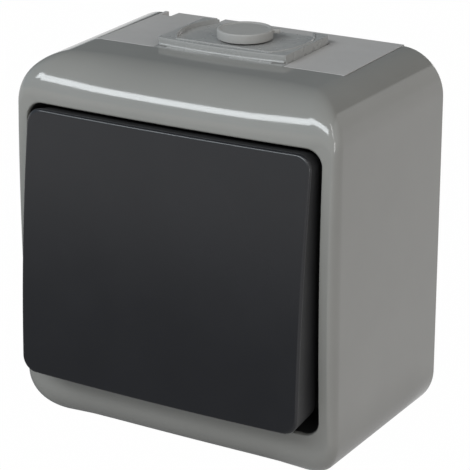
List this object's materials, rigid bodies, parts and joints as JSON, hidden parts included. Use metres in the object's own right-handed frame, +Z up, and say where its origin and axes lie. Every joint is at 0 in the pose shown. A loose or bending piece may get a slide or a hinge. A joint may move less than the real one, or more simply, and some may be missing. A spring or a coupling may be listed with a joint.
{
  "type": "surface mounted light switch",
  "caption": "Surface mounted light switch: domed hood with rolled edges, wide rocker, back box with cable entry, and a see-saw contact mechanism inside.",
  "frame": {"origin": "centre of the flat back face that lies on the wall", "axes": "+X to the right seen from the front, -Y out of the wall towards the user, +Z up"},
  "size_m": [0.07, 0.0486, 0.076],
  "materials": {
    "hood": "glossy warm grey moulded plastic",
    "box": "satin grey moulded plastic",
    "membrane": "soft grey elastomer",
    "rocker": "satin graphite moulded plastic",
    "gasket": "black rubber",
    "insulator": "cream insulating plastic",
    "steel": "zinc plated steel",
    "brass": "plain brass",
    "copper": "copper alloy strip with silvered contacts"
  },
  "bodies": {
    "housing": {"hood": "hood", "back_box": "box", "entry_plate": "box", "entry_membrane": "membrane", "mechanism_gasket": "gasket", "mechanism_plate": "insulator", "mechanism_body": "insulator", "upper_contact": "copper", "lower_contact": "copper", "common_strap": "copper", "upper_block": "brass", "lower_block": "brass", "common_block": "brass", "upper_screw": "steel", "lower_screw": "steel", "common_screw": "steel", "cover_screw_left": "steel", "cover_screw_right": "steel", "mechanism_screw_upper": "steel", "mechanism_screw_lower": "steel"},
    "key": {"rocker": "rocker", "cradle": "insulator", "plunger": "insulator", "contact_spring": "steel"},
    "see_saw": {"moving_contact": "copper"}
  },
  "joints": [
    {"name": "rocker_tilt", "type": "hinge", "parent": "housing", "child": "key", "pos_m": [0, -0.0354, 0.0008], "axis": [1, 0, 0], "range_deg": [0, 10.6]},
    {"name": "contact_tilt", "type": "hinge", "parent": "housing", "child": "see_saw", "pos_m": [0, -0.0222, 0.0008], "axis": [1, 0, 0], "range_deg": [-15.9, 0]}
  ],
  "couplings": [
    {"joint": "contact_tilt", "follows": "rocker_tilt", "ratio": -1.5}
  ]
}
